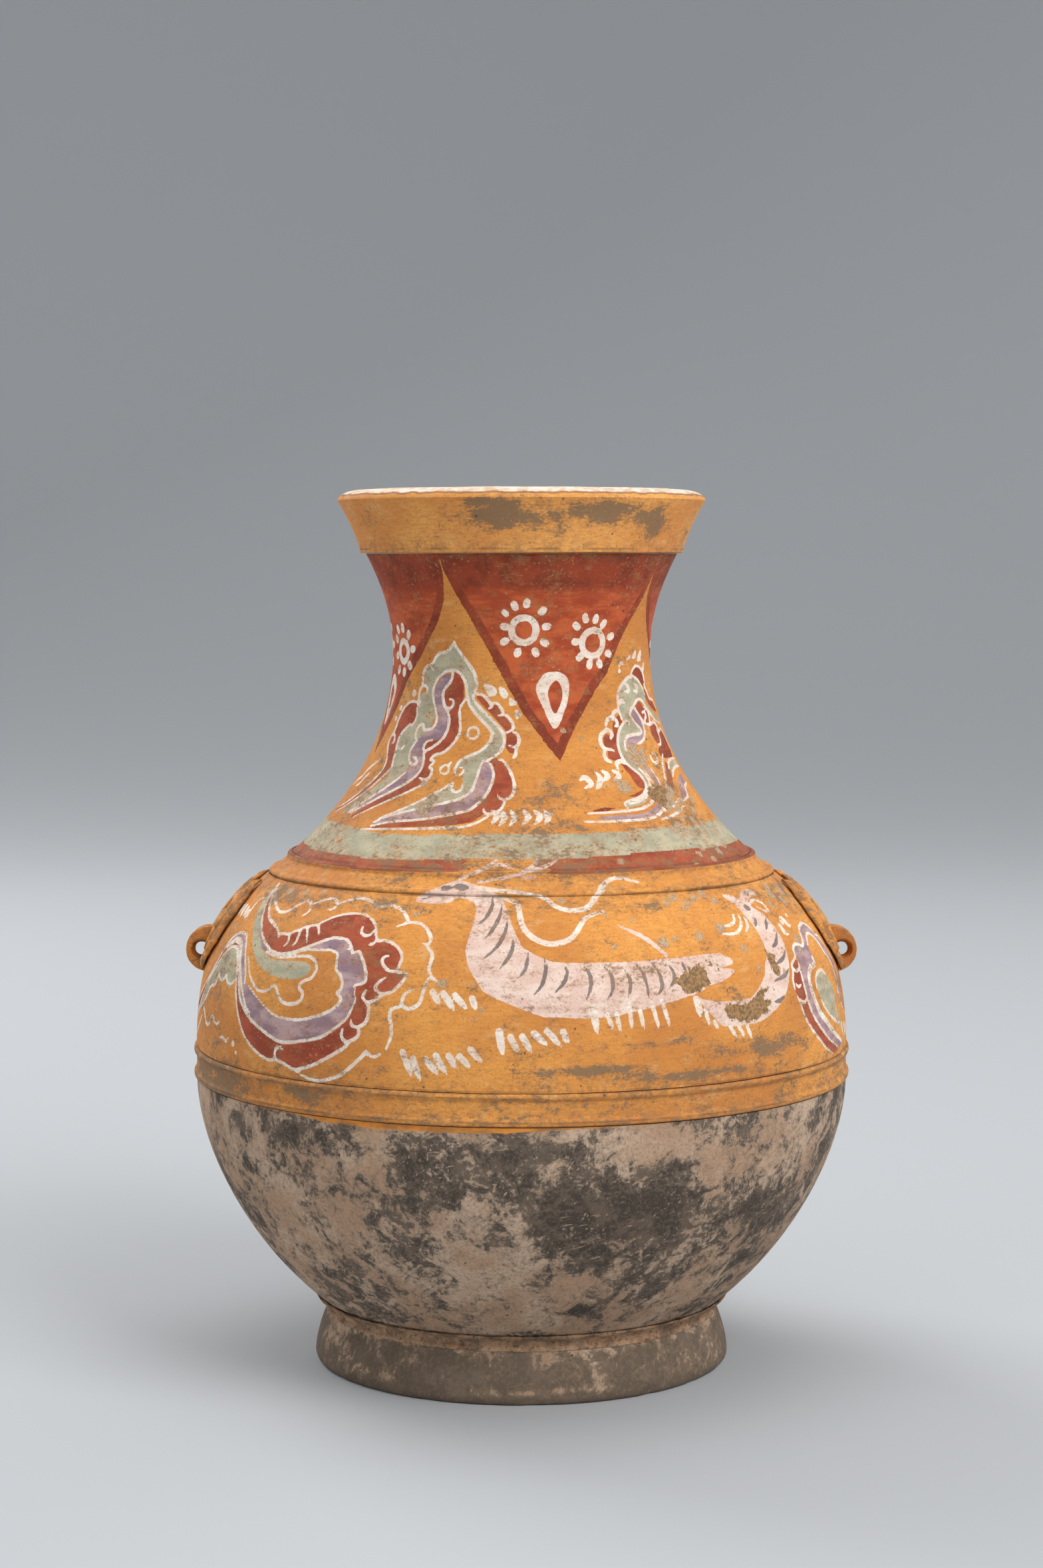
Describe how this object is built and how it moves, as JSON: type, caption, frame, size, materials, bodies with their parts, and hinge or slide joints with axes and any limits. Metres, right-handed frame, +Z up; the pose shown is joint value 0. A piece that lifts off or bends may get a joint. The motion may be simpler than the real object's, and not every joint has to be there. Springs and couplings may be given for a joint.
{
  "type": "hu vase",
  "caption": "Pear-shaped pottery jar with a waisted neck, flared mouth, splayed foot ring and two pierced lugs on beast masks.",
  "frame": {"origin": "centre of the foot ring's resting face, on the table", "axes": "+Z up along the vessel's axis; +X towards one pierced lug, so the two lugs lie on +X and -X; -Y is the front"},
  "size_m": [0.349, 0.3394, 0.45],
  "materials": {
    "bare_clay": "dry grey-brown earthenware, worn and stained",
    "luting_clay": "crumbly hand-pressed clay",
    "ochre_slip": "matt ochre slip painted with cold pigments, worn",
    "white_slip": "matt chalky white slip over ochre, worn"
  },
  "bodies": {
    "root": {"foot_ring": "bare_clay", "foot_luting_coil": "luting_clay", "lower_bowl": "bare_clay", "belly_strap": "ochre_slip", "upper_belly": "ochre_slip", "shoulder_strap": "ochre_slip", "neck": "ochre_slip", "mouth_collar": "white_slip", "mask_right": "ochre_slip", "lug_right": "ochre_slip", "mask_left": "ochre_slip", "lug_left": "ochre_slip"}
  },
  "joints": []
}
